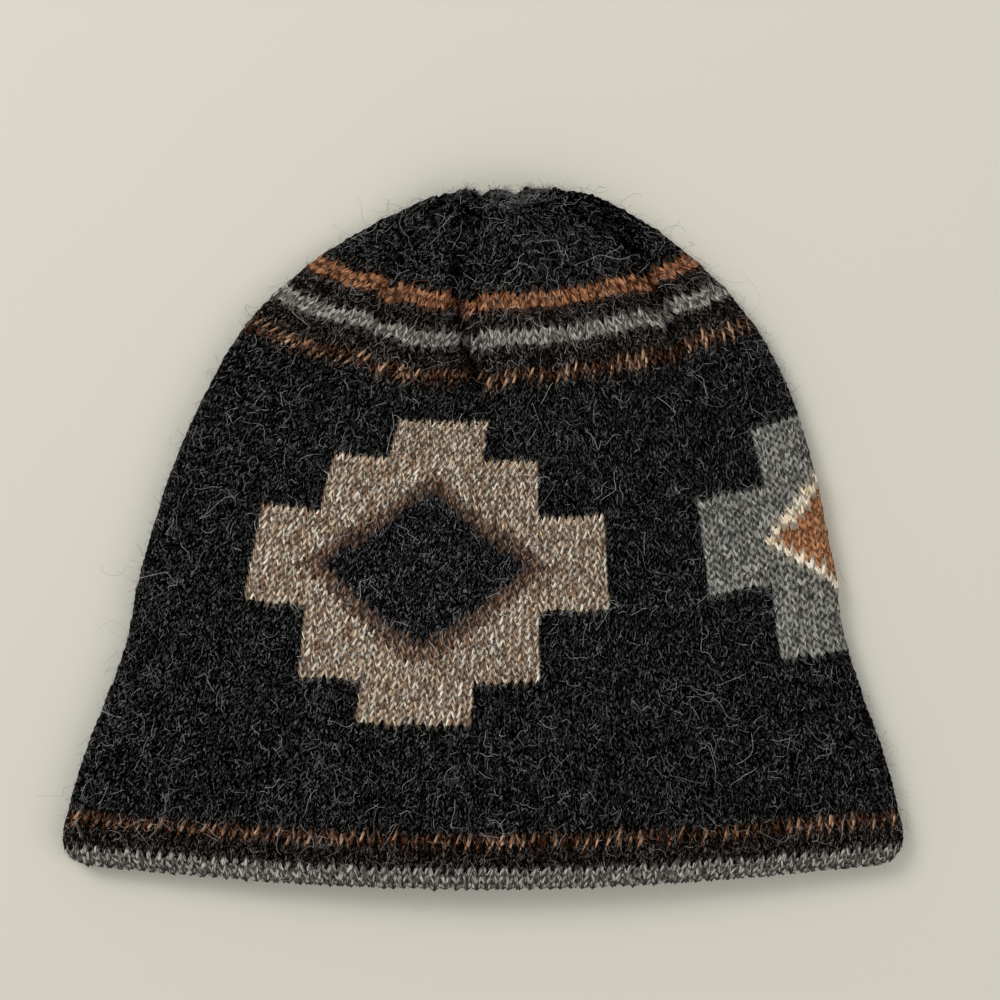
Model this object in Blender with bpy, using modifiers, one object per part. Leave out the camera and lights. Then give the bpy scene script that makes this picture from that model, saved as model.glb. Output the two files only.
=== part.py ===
"""Knitted wool beanie lying flat, as two hollow pieces: the body with its gathered crown, and the hem band.

Metres, +Z up. The hat lies on its back face with the crown towards +Y and the mouth towards -Y.
The origin is at the middle of the hat's footprint, on the surface that it lies on.
"""
import math

import bmesh
import bpy
from mathutils import Vector

# Driving sizes
HEM_WIDTH = 0.250        # flat width across the mouth
LENGTH = 0.210           # from the lowest point of the hem to the top of the crown
LOFT = 0.0190            # height of the front face above the table where the hat is fullest
SMILE = 0.0156           # how far the middle of a course hangs below its ends, where that is greatest
CROWN_LEAN = 0.0060      # sideways lean of the crown
FOLD_RADIUS = 0.0042     # outer radius of the two side folds
WALL = 0.0028            # thickness of the knitted fabric
HEM_WALL = 0.0034        # thickness of the turned hem
HEM_PROUD = 0.0003       # how far the hem band stands out from the body
HEM_ROUNDING = 0.0011    # rounding of the hem band's two rims
SEAM_GAP = 0.0003        # clearance between the hem band and the body
VALLEY_DEPTH = 0.0040    # depth of the deepest crown valley
VALLEY_SPREAD = 0.0045   # half width of a crown valley
DENT_DEPTH = 0.0012      # height of the gentle swells and dents of the front face

# Knitting, counted in courses from the rim to the drawn-in top
COURSES = 100
HEM_COURSES = 3
GORES = 10

# Mesh density
FLAT_STEPS = 28          # steps across the front, and across the back
FOLD_STEPS = 6           # steps round each side fold
RING_COLUMNS = ("steps", "crowding")      # rings along a piece, and how much closer they come towards the top
RINGS = {"knit_body": (29, 1.6), "hem_band": (2, 1.0)}

# Sections along the hat, as shares of COURSES, LENGTH, half of HEM_WIDTH, CROWN_LEAN, SMILE for both sags,
# and LOFT for top and lift
SECTION_COLUMNS = ("course", "rise", "half_width", "lean", "left_sag", "right_sag", "top", "lift")
SECTIONS = (
    (0.000, 0.000, 0.975, 0.00, 0.56, 0.56, 0.68, 0.00),
    (0.030, 0.033, 1.000, 0.02, 0.52, 0.52, 0.70, 0.00),
    (0.080, 0.083, 0.988, 0.06, 0.50, 0.50, 0.73, 0.00),
    (0.160, 0.163, 0.951, 0.10, 0.47, 0.47, 0.77, 0.00),
    (0.240, 0.243, 0.899, 0.12, 0.48, 0.54, 0.81, 0.00),
    (0.320, 0.323, 0.853, 0.14, 0.47, 0.62, 0.84, 0.00),
    (0.400, 0.404, 0.829, 0.17, 0.44, 0.73, 0.86, 0.00),
    (0.480, 0.486, 0.796, 0.24, 0.42, 0.86, 0.88, 0.00),
    (0.560, 0.566, 0.755, 0.34, 0.50, 0.98, 0.89, 0.00),
    (0.640, 0.641, 0.700, 0.56, 0.70, 1.05, 0.91, 0.00),
    (0.720, 0.713, 0.621, 0.82, 1.05, 1.09, 0.95, 0.00),
    (0.780, 0.777, 0.541, 0.96, 0.98, 0.98, 0.99, 0.00),
    (0.840, 0.838, 0.444, 1.08, 0.86, 0.88, 1.00, 0.00),
    (0.890, 0.891, 0.349, 1.24, 0.68, 0.72, 0.99, 0.01),
    (0.930, 0.931, 0.268, 1.32, 0.50, 0.56, 0.95, 0.05),
    (0.965, 0.966, 0.186, 1.30, 0.30, 0.36, 0.86, 0.14),
    (0.990, 0.990, 0.092, 1.20, 0.10, 0.12, 0.71, 0.29),
    (1.000, 1.000, 0.000, 1.12, 0.00, 0.00, 0.50, 0.50),
)

# Crown valleys, one for each gore seam: place as a share of the way round, depth as a share of VALLEY_DEPTH,
# and the course share where it starts
VALLEY_COLUMNS = ("place", "depth", "start")
VALLEYS = (
    (0.025, 0.55, 0.68),
    (0.125, 0.80, 0.68),
    (0.205, 1.00, 0.60),
    (0.325, 0.35, 0.78),
    (0.422, 0.90, 0.66),
    (0.525, 0.50, 0.74),
    (0.625, 0.45, 0.76),
    (0.725, 0.45, 0.76),
    (0.825, 0.45, 0.76),
    (0.925, 0.50, 0.74),
)

# Soft dents (below 0) and swells of the front face. Shares of: half width, COURSES, LENGTH, DENT_DEPTH
DENT_COLUMNS = ("across", "course", "radius", "height")
DENTS = (
    (-0.62, 0.30, 0.13, 0.8),
    (-0.20, 0.62, 0.10, -0.7),
    (0.34, 0.24, 0.15, -0.7),
    (0.62, 0.52, 0.12, 0.9),
    (-0.55, 0.66, 0.09, 0.7),
    (0.05, 0.40, 0.16, 0.6),
)


def smooth_lookup(course, column):
    """Reads one column of SECTIONS at a course share, on a smooth curve through its rows."""
    at = SECTION_COLUMNS.index(column)
    rows = [(row[0], row[at]) for row in SECTIONS]
    last = len(rows) - 1
    k = max(i for i in range(last) if i == 0 or rows[i][0] <= course)

    def slope(i):
        low, high = max(i - 1, 0), min(i + 1, last)
        return (rows[high][1] - rows[low][1]) / (rows[high][0] - rows[low][0])

    width = rows[k + 1][0] - rows[k][0]
    t = (course - rows[k][0]) / width
    rest = 1 - t
    return (
        rows[k][1] * (1 + 2 * t) * rest * rest
        + rows[k + 1][1] * (1 + 2 * rest) * t * t
        + slope(k) * width * t * rest * rest
        - slope(k + 1) * width * rest * t * t
    )


def smooth_step(value):
    """Rises smoothly from 0 to 1 as value goes from 0 to 1."""
    t = min(1.0, max(0.0, value))
    return t * t * (3 - 2 * t)


def half_width(course):
    """Half of the flat hat's width at a course."""
    return max(0.0, smooth_lookup(course, "half_width")) * HEM_WIDTH / 2


def fold_radius(course):
    """Outer radius of the side folds, which the thin top of the crown limits."""
    height = (smooth_lookup(course, "top") - smooth_lookup(course, "lift")) * LOFT
    return min(FOLD_RADIUS, 0.5 * max(0.0, height), half_width(course))


def station(way_round, course):
    """(across, turn) of a point a share of the way round a course, from the left fold over the front.

    across runs from -1 at the left to 1 at the right. turn is the angle round a fold, 90 degrees in front.
    """
    radius = fold_radius(course)
    flat = half_width(course) - radius
    quarter = math.pi * radius / 2
    girth = 4 * (flat + quarter)
    s = (way_round % 1.0) * girth
    if girth == 0 or s < quarter:
        return -1.0, (s / radius if radius else 0.0)
    if s < quarter + 2 * flat:
        return -1 + (s - quarter) / flat, math.pi / 2
    if s < 3 * quarter + 2 * flat:
        return 1.0, math.pi / 2 - (s - quarter - 2 * flat) / radius
    if s < 3 * quarter + 4 * flat:
        return 1 - (s - 3 * quarter - 2 * flat) / flat, -math.pi / 2
    return -1.0, -math.pi / 2 + (s - 3 * quarter - 4 * flat) / radius


def share_round(across, turn, course):
    """The share of the way round at which station() gives this point."""
    radius = fold_radius(course)
    flat = half_width(course) - radius
    quarter = math.pi * radius / 2
    girth = 4 * (flat + quarter)
    if girth == 0:
        return 0.0
    if across >= 1:
        s = quarter + 2 * flat + (math.pi / 2 - turn) * radius
    elif across <= -1:
        s = turn * radius
    elif turn > 0:
        s = quarter + (across + 1) * flat
    else:
        s = 3 * quarter + 2 * flat + (1 - across) * flat
    return (s / girth) % 1.0


def dents_at(across, course):
    """Height of the front face's swells and dents at a point."""
    total = 0.0
    for row in DENTS:
        dent = dict(zip(DENT_COLUMNS, row))
        sideways = (across - dent["across"]) * half_width(course)
        along = (course - dent["course"]) * LENGTH
        away = math.hypot(sideways, along) / (dent["radius"] * LENGTH)
        total += dent["height"] * DENT_DEPTH * math.exp(-away * away)
    return total * (1 - across * across)


def smooth_point(across, turn, course):
    """A point of the outer face before the crown is drawn into valleys."""
    radius = fold_radius(course)
    flat = half_width(course) - radius
    front = max(0.0, math.sin(turn))
    lift = smooth_lookup(course, "lift") * LOFT
    bulge = smooth_lookup(course, "top") * LOFT - lift - 2 * radius
    x = across * flat + (radius * math.cos(turn) if abs(across) == 1 else 0.0) * across
    reach = x / half_width(course) if half_width(course) else 0.0
    sag = smooth_lookup(course, "left_sag" if x < 0 else "right_sag") * SMILE
    y = smooth_lookup(course, "rise") * LENGTH + sag * reach * reach
    z = lift + radius * (1 + math.sin(turn)) + front * bulge * (1 - across * across) ** 1.2
    if turn > 0 and abs(across) < 1:
        z += dents_at(across, course)
    return Vector((x + smooth_lookup(course, "lean") * CROWN_LEAN, y, z))


def outward(way_round, course):
    """Unit normal of the smooth outer face."""
    step = 0.002
    up, down = min(1.0, course + step), course - step
    along = smooth_point(*station(way_round, up), up) - smooth_point(*station(way_round, down), down)
    ahead = smooth_point(*station(way_round + step, course), course)
    behind = smooth_point(*station(way_round - step, course), course)
    normal = (ahead - behind).cross(along)
    return normal.normalized() if normal.length else Vector((0, 1, 0))


def valley_depth(way_round, course):
    """How far the crown is drawn in at a point: most on the gore seams, and nothing at the very top."""
    full_course = 0.93       # where a valley reaches its full depth
    last_course = 0.94       # where it starts to close again
    widest = 0.28 / GORES    # its half width at most, as a share of the girth
    deepest = 0.10           # its depth at most, as a share of the girth
    girth = 4 * half_width(course)
    spread = min(VALLEY_SPREAD, widest * girth)
    if spread <= 0:
        return 0.0
    closing = smooth_step((1 - course) / (1 - last_course))
    total = 0.0
    for row in VALLEYS:
        valley = dict(zip(VALLEY_COLUMNS, row))
        away = abs((way_round - valley["place"] + 0.5) % 1.0 - 0.5) * girth
        strength = smooth_step((course - valley["start"]) / (full_course - valley["start"]))
        total += valley["depth"] * strength * closing * math.exp(-((away / spread) ** 2))
    return total * min(VALLEY_DEPTH, deepest * girth)


def outer_point(way_round, across, turn, course):
    """A point of the hat's outer face, which never goes below the table."""
    point = smooth_point(across, turn, course)
    depth = valley_depth(way_round, course)
    if depth > 0:
        point -= depth * outward(way_round, course)
    point.z = max(0.0, point.z)
    return point


def stations_round():
    """(across, turn) of each column of the mesh, from the middle of the left fold round to it again."""
    turns = [math.pi * k / FOLD_STEPS for k in range(FOLD_STEPS // 2)]
    left_up = [(-1.0, turn) for turn in turns]
    front = [(-1 + 2 * k / FLAT_STEPS, math.pi / 2) for k in range(FLAT_STEPS + 1)]
    right = [(1.0, math.pi / 2 - math.pi * k / FOLD_STEPS) for k in range(1, FOLD_STEPS)]
    back = [(1 - 2 * k / FLAT_STEPS, -math.pi / 2) for k in range(FLAT_STEPS + 1)]
    left_down = [(-1.0, -turn) for turn in reversed(turns)]
    return left_up + front + right + back + left_down


def fabric_point(way_round, across, turn, course, outset):
    """A point at a distance outside the outer face, or inside it where the distance is below 0."""
    point = outer_point(way_round, across, turn, course) + outset * outward(way_round, course)
    point.z = max(0.0, point.z)
    return point


def wrapped_grid(bm, courses, outset, ends):
    """Adds an open tube with marked end rings: a flat grid wrapped round the hat through the courses."""
    columns = stations_round()
    rows = len(courses) - 1
    grid = bmesh.ops.create_grid(bm, x_segments=len(columns) - 1, y_segments=rows, size=1.0)
    for vert in grid["verts"]:
        across, turn = columns[round((vert.co.x + 1) / 2 * (len(columns) - 1))]
        row = round((vert.co.y + 1) / 2 * rows)
        vert[ends] = 1 if row == 0 else (2 if row == rows else 0)
        way_round = share_round(across, turn, courses[row])
        vert.co = fabric_point(way_round, across, turn, courses[row], outset)
    bmesh.ops.remove_doubles(bm, verts=grid["verts"], dist=1e-6)


def knitted_object(name, courses, proud, thickness, material, collection):
    """A closed wall of fabric: an outer and an inner tube, joined round their open ends."""
    bm = bmesh.new()
    ends = bm.verts.layers.int.new("end_ring")
    wrapped_grid(bm, courses, proud, ends)
    wrapped_grid(bm, courses, proud - thickness, ends)
    open_edges = [edge for edge in bm.edges if edge.is_boundary]
    for ring in (1, 2):
        pair = [edge for edge in open_edges if edge.verts[0][ends] == ring]
        if pair:
            bmesh.ops.bridge_loops(bm, edges=pair)
    bmesh.ops.recalc_face_normals(bm, faces=bm.faces)
    mesh = bpy.data.meshes.new(name)
    bm.to_mesh(mesh)
    bm.free()
    mesh.shade_smooth()
    obj = bpy.data.objects.new(name, mesh)
    collection.objects.link(obj)
    obj.data.materials.append(material)
    return obj


def yarn_material(name, colour, roughness):
    """A matt wool material."""
    material = bpy.data.materials.new(name)
    material.use_nodes = True
    shader = material.node_tree.nodes["Principled BSDF"]
    shader.inputs["Base Color"].default_value = (*colour, 1.0)
    shader.inputs["Roughness"].default_value = roughness
    shader.inputs["Metallic"].default_value = 0.0
    return material


def ring_courses(name, first, last):
    """Course shares of a piece's rings."""
    rings = dict(zip(RING_COLUMNS, RINGS[name]))
    steps = [k / rings["steps"] for k in range(rings["steps"] + 1)]
    return [first + (last - first) * (1 - (1 - step) ** rings["crowding"]) for step in steps]


def make_body(collection):
    """The knitted tube and its crown, closed where the last stitches are drawn together."""
    charcoal = yarn_material("charcoal_wool", (0.030, 0.030, 0.032), 0.95)
    courses = ring_courses("knit_body", HEM_COURSES / COURSES, 1.0)
    return knitted_object("knit_body", courses, 0.0, WALL, charcoal, collection)


def make_hem(collection):
    """The turned hem in grey wool round the mouth."""
    grey = yarn_material("hem_grey_wool", (0.105, 0.112, 0.108), 0.95)
    courses = ring_courses("hem_band", 0.0, HEM_COURSES / COURSES - SEAM_GAP / LENGTH)
    obj = knitted_object("hem_band", courses, HEM_PROUD, HEM_WALL, grey, collection)
    rim = obj.modifiers.new("rounded_rims", "BEVEL")
    rim.width = HEM_ROUNDING
    rim.segments = 2
    rim.limit_method = "ANGLE"
    rim.angle_limit = math.radians(60)
    return obj


def centre_on_footprint(objects):
    """Moves every mesh so that the middle of the hat's footprint is the origin."""
    bpy.context.view_layer.update()
    graph = bpy.context.evaluated_depsgraph_get()
    corners = [Vector(c) for obj in objects for c in obj.evaluated_get(graph).bound_box]
    low = Vector([min(c[axis] for c in corners) for axis in range(3)])
    high = Vector([max(c[axis] for c in corners) for axis in range(3)])
    shift = Vector((-(low.x + high.x) / 2, -(low.y + high.y) / 2, 0.0))
    for obj in objects:
        for vert in obj.data.vertices:
            vert.co += shift


def main():
    for obj in list(bpy.data.objects):
        bpy.data.objects.remove(obj, do_unlink=True)
    collection = bpy.data.collections.new("beanie")
    bpy.context.scene.collection.children.link(collection)
    body = make_body(collection)
    hem = make_hem(collection)
    centre_on_footprint([body, hem])


main()
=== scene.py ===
import math

import bmesh
import bpy
import numpy as np
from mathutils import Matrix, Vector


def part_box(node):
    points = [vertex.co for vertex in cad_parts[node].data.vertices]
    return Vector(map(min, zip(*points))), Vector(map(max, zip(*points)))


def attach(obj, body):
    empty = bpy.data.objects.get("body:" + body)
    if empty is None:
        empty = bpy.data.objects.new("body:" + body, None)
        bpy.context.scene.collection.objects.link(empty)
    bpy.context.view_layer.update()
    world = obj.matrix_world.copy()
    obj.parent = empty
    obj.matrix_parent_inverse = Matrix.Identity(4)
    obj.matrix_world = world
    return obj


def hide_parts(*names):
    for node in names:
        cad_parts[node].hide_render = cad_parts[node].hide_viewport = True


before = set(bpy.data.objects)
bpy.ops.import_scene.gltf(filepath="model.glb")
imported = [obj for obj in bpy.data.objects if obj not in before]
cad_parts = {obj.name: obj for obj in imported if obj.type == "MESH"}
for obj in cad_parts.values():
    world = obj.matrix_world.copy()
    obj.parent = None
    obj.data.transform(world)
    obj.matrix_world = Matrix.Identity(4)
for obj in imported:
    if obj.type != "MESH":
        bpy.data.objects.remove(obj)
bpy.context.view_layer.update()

mm = 0.001
gores = 10
stitchesRound = 160  # wales round the body, 16 in each gore


def linearColour(code, factor=1.0):
    # an sRGB hex code as linear red, green, blue and alpha, the colour times a factor
    parts = [int(code[i:i + 2], 16) / 255 for i in (1, 3, 5)]
    linear = [p / 12.92 if p <= 0.04045 else ((p + 0.055) / 1.055) ** 2.4 for p in parts]
    return [factor * p for p in linear] + [1.0]


def linked(name, data):
    thing = bpy.data.objects.new(name, data)
    bpy.context.scene.collection.objects.link(thing)
    return thing


def addNode(tree, kind, links=None, **settings):
    # links holds, for the name or number of an input, the output or the value that goes in
    node = tree.nodes.new(kind)
    for key, value in settings.items():
        setattr(node, key, value)
    for socket, source in (links or {}).items():
        if isinstance(source, bpy.types.NodeSocket):
            tree.links.new(source, node.inputs[socket])
        else:
            node.inputs[socket].default_value = source
    return node


def mathNode(tree, operation, *values):
    return addNode(tree, "ShaderNodeMath", dict(enumerate(values)), operation=operation).outputs[0]


def vectorNode(tree, operation, *values):
    return addNode(tree, "ShaderNodeVectorMath", dict(enumerate(values)), operation=operation).outputs[0]


def scaledVector(tree, vector, factor):
    links = {0: vector, "Scale": factor}
    return addNode(tree, "ShaderNodeVectorMath", links, operation="SCALE").outputs[0]


def joinedVector(tree, x, y, z):
    return addNode(tree, "ShaderNodeCombineXYZ", {0: x, 1: y, 2: z}).outputs[0]


def splitVector(tree, vector):
    return addNode(tree, "ShaderNodeSeparateXYZ", {0: vector}).outputs


def mappedValue(tree, value, source, target, **settings):
    links = {"Value": value, "From Min": source[0], "From Max": source[1],
             "To Min": target[0], "To Max": target[1]}
    return addNode(tree, "ShaderNodeMapRange", links, **settings).outputs[0]


# The lie of the hat: the same sections as the solid, as shares of its driving sizes
hat = {
    "hemWidth": 250 * mm, "length": 210 * mm, "loft": 19 * mm, "smile": 15.6 * mm, "lean": 6 * mm,
    "foldRadius": 4.2 * mm, "wall": 2.8 * mm, "hemProud": 0.3 * mm, "courses": 100, "hemCourses": 3,
    "dentDepth": 1.2 * mm,
}
courseHeight = hat["length"] / hat["courses"]
sectionColumns = ("course", "rise", "halfWidth", "lean", "leftSag", "rightSag", "top", "lift")
sections = np.array((
    (0.000, 0.000, 0.975, 0.00, 0.56, 0.56, 0.68, 0.00),
    (0.030, 0.033, 1.000, 0.02, 0.52, 0.52, 0.70, 0.00),
    (0.080, 0.083, 0.988, 0.06, 0.50, 0.50, 0.73, 0.00),
    (0.160, 0.163, 0.951, 0.10, 0.47, 0.47, 0.77, 0.00),
    (0.240, 0.243, 0.899, 0.12, 0.48, 0.54, 0.81, 0.00),
    (0.320, 0.323, 0.853, 0.14, 0.47, 0.62, 0.84, 0.00),
    (0.400, 0.404, 0.829, 0.17, 0.44, 0.73, 0.86, 0.00),
    (0.480, 0.486, 0.796, 0.24, 0.42, 0.86, 0.88, 0.00),
    (0.560, 0.566, 0.755, 0.34, 0.50, 0.98, 0.89, 0.00),
    (0.640, 0.641, 0.700, 0.56, 0.70, 1.05, 0.91, 0.00),
    (0.720, 0.713, 0.621, 0.82, 1.05, 1.09, 0.95, 0.00),
    (0.780, 0.777, 0.541, 0.96, 0.98, 0.98, 0.99, 0.00),
    (0.840, 0.838, 0.444, 1.08, 0.86, 0.88, 1.00, 0.00),
    (0.890, 0.891, 0.349, 1.24, 0.68, 0.72, 0.99, 0.01),
    (0.930, 0.931, 0.268, 1.32, 0.50, 0.56, 0.95, 0.05),
    (0.965, 0.966, 0.186, 1.30, 0.30, 0.36, 0.86, 0.14),
    (0.990, 0.990, 0.092, 1.20, 0.10, 0.12, 0.71, 0.29),
    (1.000, 1.000, 0.000, 1.12, 0.00, 0.00, 0.50, 0.50),
))
# Each dent: place across, course, radius, height. Places and radii are shares of the hat's sizes
dents = (
    (-0.62, 0.30, 0.13, 0.8), (-0.20, 0.62, 0.10, -0.7), (0.34, 0.24, 0.15, -0.7),
    (0.62, 0.52, 0.12, 0.9), (-0.55, 0.66, 0.09, 0.7), (0.05, 0.40, 0.16, 0.6),
)
# Each valley of the crown: share of the way round, depth, first course
valleys = (
    (0.025, 0.55, 0.68), (0.125, 0.80, 0.68), (0.205, 1.00, 0.60), (0.325, 0.35, 0.78),
    (0.422, 0.90, 0.66), (0.525, 0.50, 0.74), (0.625, 0.45, 0.76), (0.725, 0.45, 0.76),
    (0.825, 0.45, 0.76), (0.925, 0.50, 0.74),
)
valley = {"first": 0.025, "depth": 4 * mm, "depthOfGirth": 0.10, "spread": 4.5 * mm, "spreadOfGore": 0.28,
          "full": 0.93, "fades": 0.06}
# Sharp creases at the bottom of the deepest valleys, in the scene only: share of the way round at
# the middle course, from and to course, depth, reach, lean in shares for a whole length
creases = (
    (0.207, 0.66, 1.01, 2.6 * mm, 1.7 * mm, -0.37),
    (0.113, 0.70, 0.99, 1.2 * mm, 1.8 * mm, -0.27),
    (0.430, 0.68, 0.99, 1.8 * mm, 1.8 * mm, 0.16),
)
# crease also sets the painted shade of the creases: its strength, how far it reaches and its darkest
crease = {"middle": 0.79, "grows": 0.10, "fades": 0.04, "shade": 0.80, "shadeReach": 1.2, "darkest": 0.86}
# Notches of the drawn-up top, in the scene only: place across, reach, depth
gathers = ((-6.7 * mm, 1.9 * mm, 2.1 * mm), (2.8 * mm, 1.8 * mm, 2.0 * mm))
gather = {"first": 0.955, "grows": 0.04}
rimLift = {"height": 1.4 * mm, "fades": 0.22}  # the rim lies a little flatter in the middle


def section(name, course):
    rows, values = sections[:, 0], sections[:, sectionColumns.index(name)]
    last = len(rows) - 1
    slopes = np.array([(values[min(i + 1, last)] - values[max(i - 1, 0)])
                       / (rows[min(i + 1, last)] - rows[max(i - 1, 0)]) for i in range(len(rows))])
    k = np.clip(np.searchsorted(rows, course, side="right") - 1, 0, last - 1)
    width = rows[k + 1] - rows[k]
    t = (course - rows[k]) / width
    rest = 1 - t
    return (values[k] * (1 + 2 * t) * rest ** 2 + values[k + 1] * (1 + 2 * rest) * t ** 2
            + slopes[k] * width * t * rest ** 2 - slopes[k + 1] * width * rest * t ** 2)


def halfWidth(course):
    return np.maximum(1e-6, section("halfWidth", course)) * hat["hemWidth"] / 2


def foldRadius(course):
    height = (section("top", course) - section("lift", course)) * hat["loft"]
    largest = np.minimum(hat["foldRadius"], 0.5 * np.maximum(0, height))
    return np.maximum(1e-7, np.minimum(largest, 0.98 * halfWidth(course)))


def girth(course):
    return 4 * (halfWidth(course) + (math.pi / 2 - 1) * foldRadius(course))


def awayFrom(offset, course):
    # the way along the face, for an offset in shares of the way round
    return np.abs((offset + 0.5) % 1.0 - 0.5) * girth(course)


def smoothStep(value):
    t = np.clip(value, 0, 1)
    return t * t * (3 - 2 * t)


def unit(vectors):
    return vectors / np.maximum(1e-12, np.linalg.norm(vectors, axis=-1, keepdims=True))


def dentSwell(across, half, course):
    swell = 0
    for at, row, radius, height in dents:
        away = ((across - at) * half) ** 2 + ((course - row) * hat["length"]) ** 2
        swell = swell + height * hat["dentDepth"] * np.exp(-away / (radius * hat["length"]) ** 2)
    return swell


def smoothFace(share, course):
    # share runs once round the hat from the middle of the left fold, over the front first
    course = np.clip(course, 0, 1)
    radius, half = foldRadius(course), halfWidth(course)
    flat = half - radius
    quarter = math.pi * radius / 2
    right = math.pi / 2
    s = (share % 1.0) * girth(course)
    ends = np.array([quarter, quarter + 2 * flat, 3 * quarter + 2 * flat, 3 * quarter + 4 * flat])
    zone = (s[None] >= ends).sum(axis=0)
    zones = [zone == number for number in range(4)]
    across = np.select(zones, [-1 + 0 * s, -1 + (s - ends[0]) / flat,
                               1 + 0 * s, 1 - (s - ends[2]) / flat], -1.0)
    turn = np.select(zones, [s / radius, right + 0 * s, right - (s - ends[1]) / radius,
                             -right + 0 * s], -right + (s - ends[3]) / radius)
    lift = section("lift", course) * hat["loft"]
    bulge = section("top", course) * hat["loft"] - lift - 2 * radius
    bow = np.maximum(0, 1 - across ** 2)
    x = across * flat + np.where(np.abs(across) >= 1, radius * np.cos(turn) * across, 0)
    sag = np.where(x < 0, section("leftSag", course), section("rightSag", course)) * hat["smile"]
    y = section("rise", course) * hat["length"] + sag * (x / half) ** 2
    rimShare = smoothStep(1 - course / rimLift["fades"])
    y = y + rimLift["height"] * rimShare * np.maximum(0, 1 - (x / half) ** 4)
    notch = sum(deep * np.exp(-((x - at) / reach) ** 2) for at, reach, deep in gathers)
    y = y - smoothStep((course - gather["first"]) / gather["grows"]) * notch
    z = lift + radius * (1 + np.sin(turn)) + np.maximum(0, np.sin(turn)) * bulge * bow ** 1.2
    z = z + np.where(zone == 1, dentSwell(across, half, course) * bow, 0)
    return np.stack([x + section("lean", course) * hat["lean"], y, z], axis=-1)


def smoothNormal(share, course):
    step = 0.002
    along = smoothFace(share, np.minimum(1, course + step)) - smoothFace(share, course - step)
    around = smoothFace(share + step, course) - smoothFace(share - step, course)
    return unit(np.cross(around, along))


def valleyDepth(share, course):
    total = 0
    for seam, depth, start in valleys:
        away = awayFrom(share - seam, course)
        spread = np.minimum(valley["spread"], valley["spreadOfGore"] * girth(course) / gores)
        strength = (smoothStep((course - start) / (valley["full"] - start))
                    * smoothStep((1 - course) / valley["fades"]))
        total = total + depth * strength * np.exp(-(away / spread) ** 2)
    total = total * np.minimum(valley["depth"], valley["depthOfGirth"] * girth(course))
    for seam, low, high, depth, reach, lean in creases:
        away = awayFrom(share - seam - lean * (course - crease["middle"]), course)
        strength = (smoothStep((course - low) / crease["grows"])
                    * smoothStep((high - course) / crease["fades"]))
        total = total + depth * strength * np.exp(-(away / reach) ** 2)
    return total


def paintedCreaseShade(share, course):
    # painted shade: 1 on the open face, less down in the creases, where little light reaches the wool
    shade = 0
    for seam, low, high, depth, reach, lean in creases:
        away = awayFrom(share - seam - lean * (course - crease["middle"]), course)
        deep = crease["shade"] * depth / creases[0][3] * smoothStep((course - low) / crease["grows"])
        shade = shade + deep * np.exp(-(away / (crease["shadeReach"] * reach)) ** 2)
    return 1 - np.minimum(crease["darkest"], shade)


def face(share, course, outset=0.0):
    share, course = np.broadcast_arrays(np.asarray(share, float), np.asarray(course, float))
    normal = smoothNormal(share, course)
    point = smoothFace(share, course) + normal * (outset - valleyDepth(share, course))[..., None]
    point[..., 2] = np.maximum(point[..., 2], 0)
    return point + hatPlace


hatPlace = np.zeros(3)
bodyLow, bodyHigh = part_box("knit_body")
folds = face(np.repeat((0.0, 0.5), 400), np.tile(np.linspace(0.03, 1, 400), 2))[:, 0]
hatPlace = np.array([(bodyLow[0] + bodyHigh[0] - folds.min() - folds.max()) / 2,
                     bodyHigh[1] - hat["length"], 0])
print("hat surface placed, moved by", hatPlace)


def frames(share, course, outset=0.0):
    # point, and the unit vectors round the hat, up a wale and out of the face
    du, dc = 0.15 / stitchesRound, 0.15 / hat["courses"]
    point = face(share, course, outset)
    side = face(share + du, course, outset) - face(share - du, course, outset)
    up = face(share, np.minimum(1, course + dc), outset) - face(share, course - dc, outset)
    normal = unit(np.cross(side, up))
    up = unit(up)
    return point, unit(np.cross(up, normal)), up, normal


def eulerOf(side, up, normal):
    # XYZ angles of the frames whose columns are side, up and normal
    pitch = np.arcsin(np.clip(-side[:, 2], -1, 1))
    roll = np.arctan2(up[:, 2], normal[:, 2])
    yaw = np.arctan2(side[:, 1], side[:, 0])
    return np.stack([roll, pitch, yaw], axis=-1)


# Wool yarns: the colours of their dark, middle and light fibres
yarns = {
    "charcoal": ("#010101", "#070707", "#616160"),
    "ink": ("#010102", "#0D0E10", "#6B6D70"),
    "tanMarl": ("#A6A6A6", "#DCDCDC", "#FFFFFF"),
    "tawny": ("#848484", "#C2C2C2", "#F8F8F8"),
    "umber": ("#0C0705", "#42332C", "#826D5F"),
    "greyMarl": ("#3A3A34", "#7E7D76", "#BDBBB2"),
    "cream": ("#9E8D73", "#D8C8AE", "#FFFAEC"),
    "rust": ("#28120A", "#70442C", "#B9855F"),
    "sienna": ("#6A3C22", "#9E6947", "#CC986E"),
    "silver": ("#191715", "#68625B", "#BBB5AB"),
    "dusk": ("#030202", "#181412", "#6A625C"),
    "brownMarl": ("#060201", "#3F281C", "#8C624A"),
    "hemGrey": ("#1A1916", "#67645C", "#BDBAB0"),
}
yarnNames = tuple(yarns)
# Marled yarns: the colours that their legs come up in, each from its own value of luck
fleckPlaces = (0.0, 0.20, 0.40, 0.50, 0.74, 0.93)
marlShades = {
    "tanMarl": ("#FFF3DE", "#E9D3B6", "#D0C6AE", "#BFA083", "#A07C62", "#B49274"),
    "tawny": ("#BDA088", "#AA876C", "#938678", "#7E604C", "#604636", "#86644E"),
    "cream": ("#FFFAF2", "#FFFFFF", "#F0E4D4", "#FFFFFF", "#FFFAF2", "#F4EAD8"),
    "greyMarl": ("#FFFDF6", "#E6E6E2", "#EEF0F2", "#FFFFFF", "#DCDCD6", "#F4F2EC"),
}
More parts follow.
